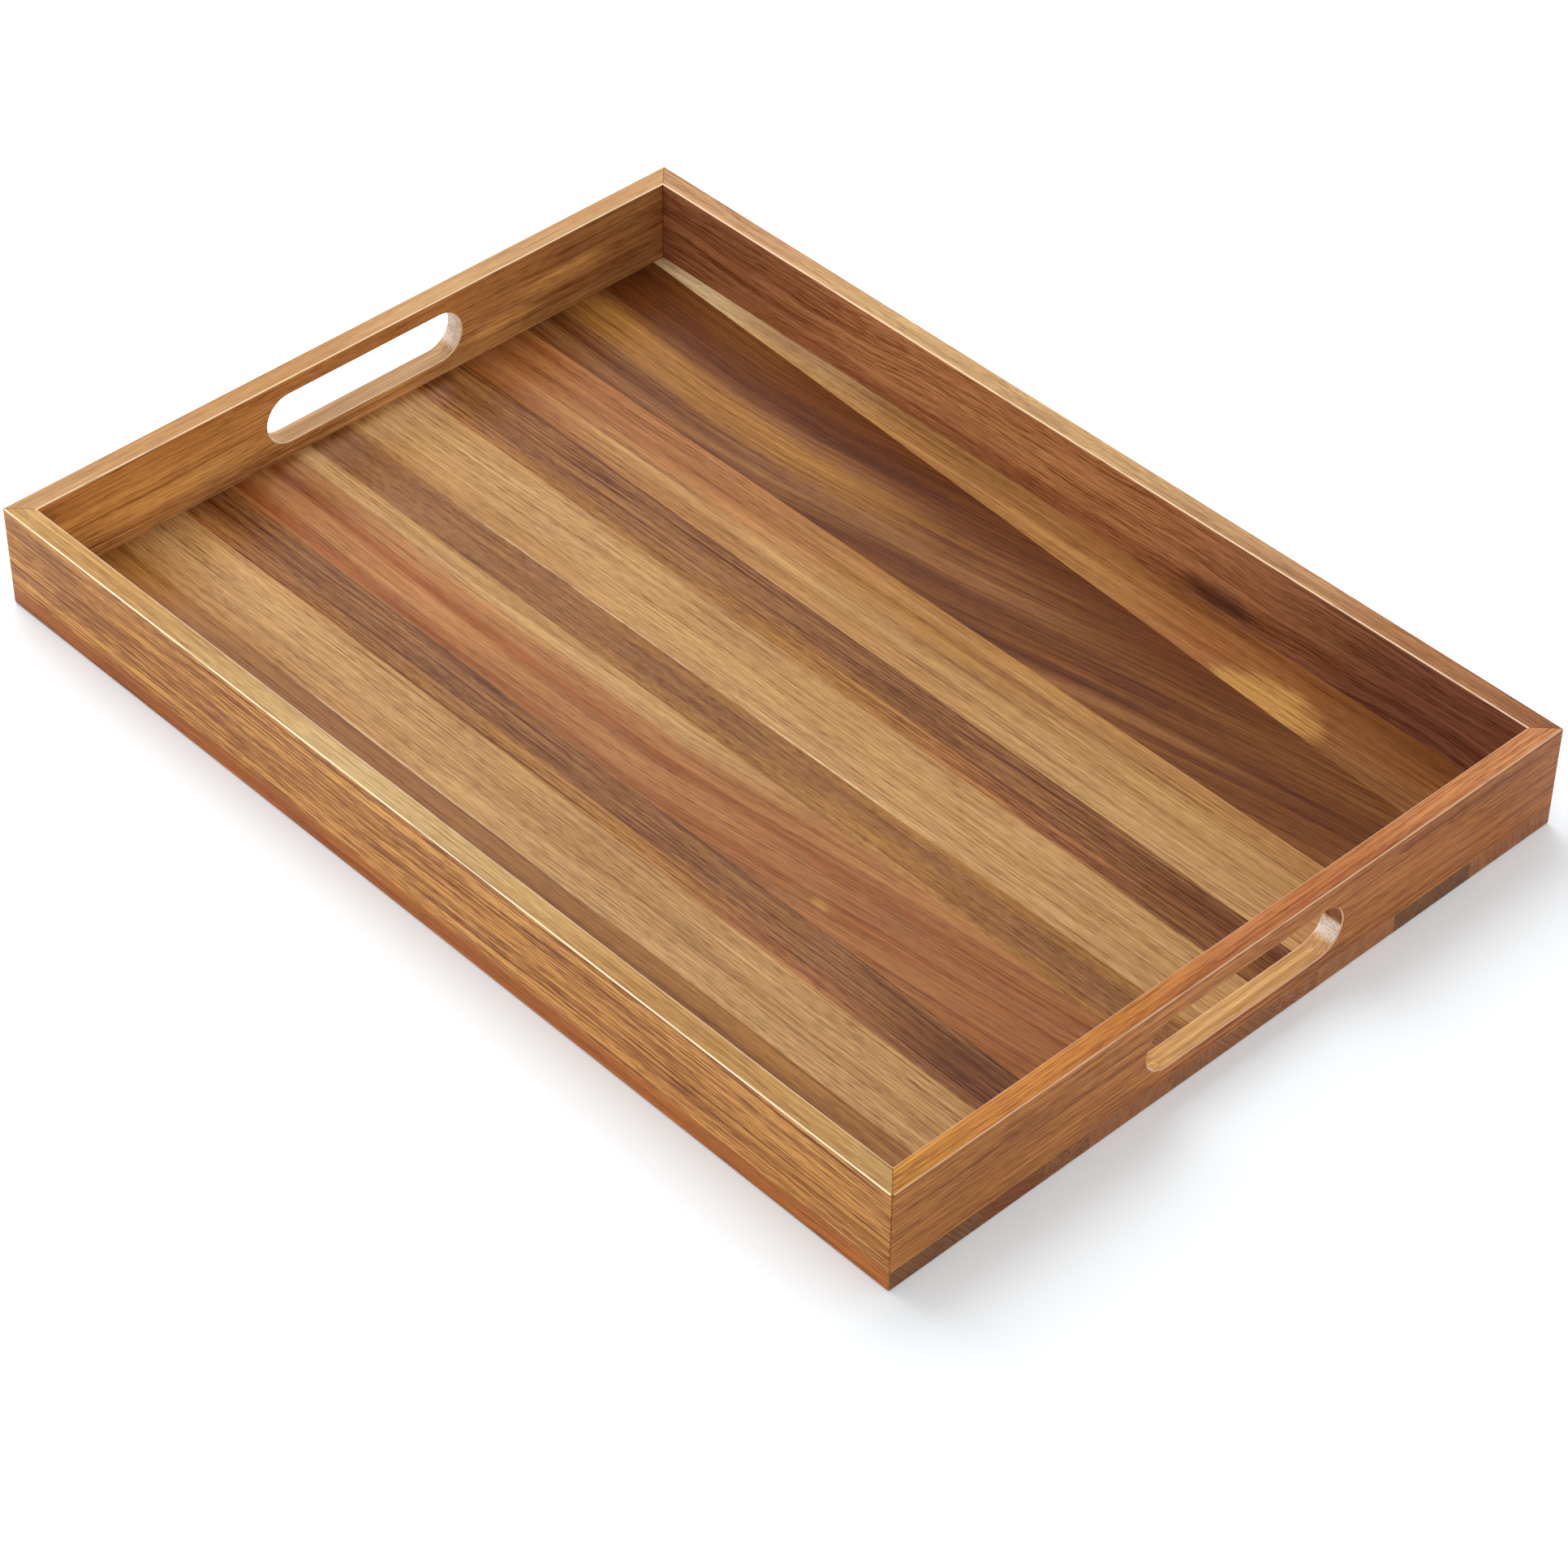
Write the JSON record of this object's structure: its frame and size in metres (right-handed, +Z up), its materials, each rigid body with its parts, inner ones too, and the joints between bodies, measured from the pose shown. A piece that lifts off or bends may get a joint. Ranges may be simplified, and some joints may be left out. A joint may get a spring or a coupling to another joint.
{
  "type": "serving tray",
  "caption": "Rectangular serving tray: mixed-tone wooden stave board with a mitred upright frame and a round-ended hand slot through each short rail.",
  "frame": {"origin": "centre of the flat underside", "axes": "+X along the tray's length towards one short rail, +Y towards a long rail, +Z up"},
  "size_m": [0.508, 0.356, 0.0485],
  "materials": {
    "golden_rail": "satin clear lacquer over the open grain",
    "reddish_rail": "satin clear lacquer over the open grain",
    "pale_stave": "satin clear lacquer over the open grain",
    "dark_stave": "satin clear lacquer over the open grain",
    "orange_stave": "satin clear lacquer over the open grain",
    "brown_stave": "satin clear lacquer over the open grain",
    "walnut_stave": "satin clear lacquer over the open grain",
    "sap_stave": "satin clear lacquer over the open grain",
    "plain_insert": "unfinished, hidden in the joints"
  },
  "bodies": {
    "root": {"front_rail": "golden_rail", "rear_rail": "reddish_rail", "left_rail": "golden_rail", "right_rail": "reddish_rail", "base_stave_01": "brown_stave", "base_stave_02": "pale_stave", "base_stave_03": "dark_stave", "base_stave_04": "orange_stave", "base_stave_05": "brown_stave", "base_stave_06": "pale_stave", "base_stave_07": "dark_stave", "base_stave_08": "orange_stave", "base_stave_09": "walnut_stave", "base_stave_10": "sap_stave", "mitre_spline_front_left": "plain_insert", "mitre_spline_front_right": "plain_insert", "mitre_spline_rear_left": "plain_insert", "mitre_spline_rear_right": "plain_insert", "front_rail_dowels": "plain_insert", "rear_rail_dowels": "plain_insert", "left_rail_dowels": "plain_insert", "right_rail_dowels": "plain_insert"}
  },
  "joints": []
}
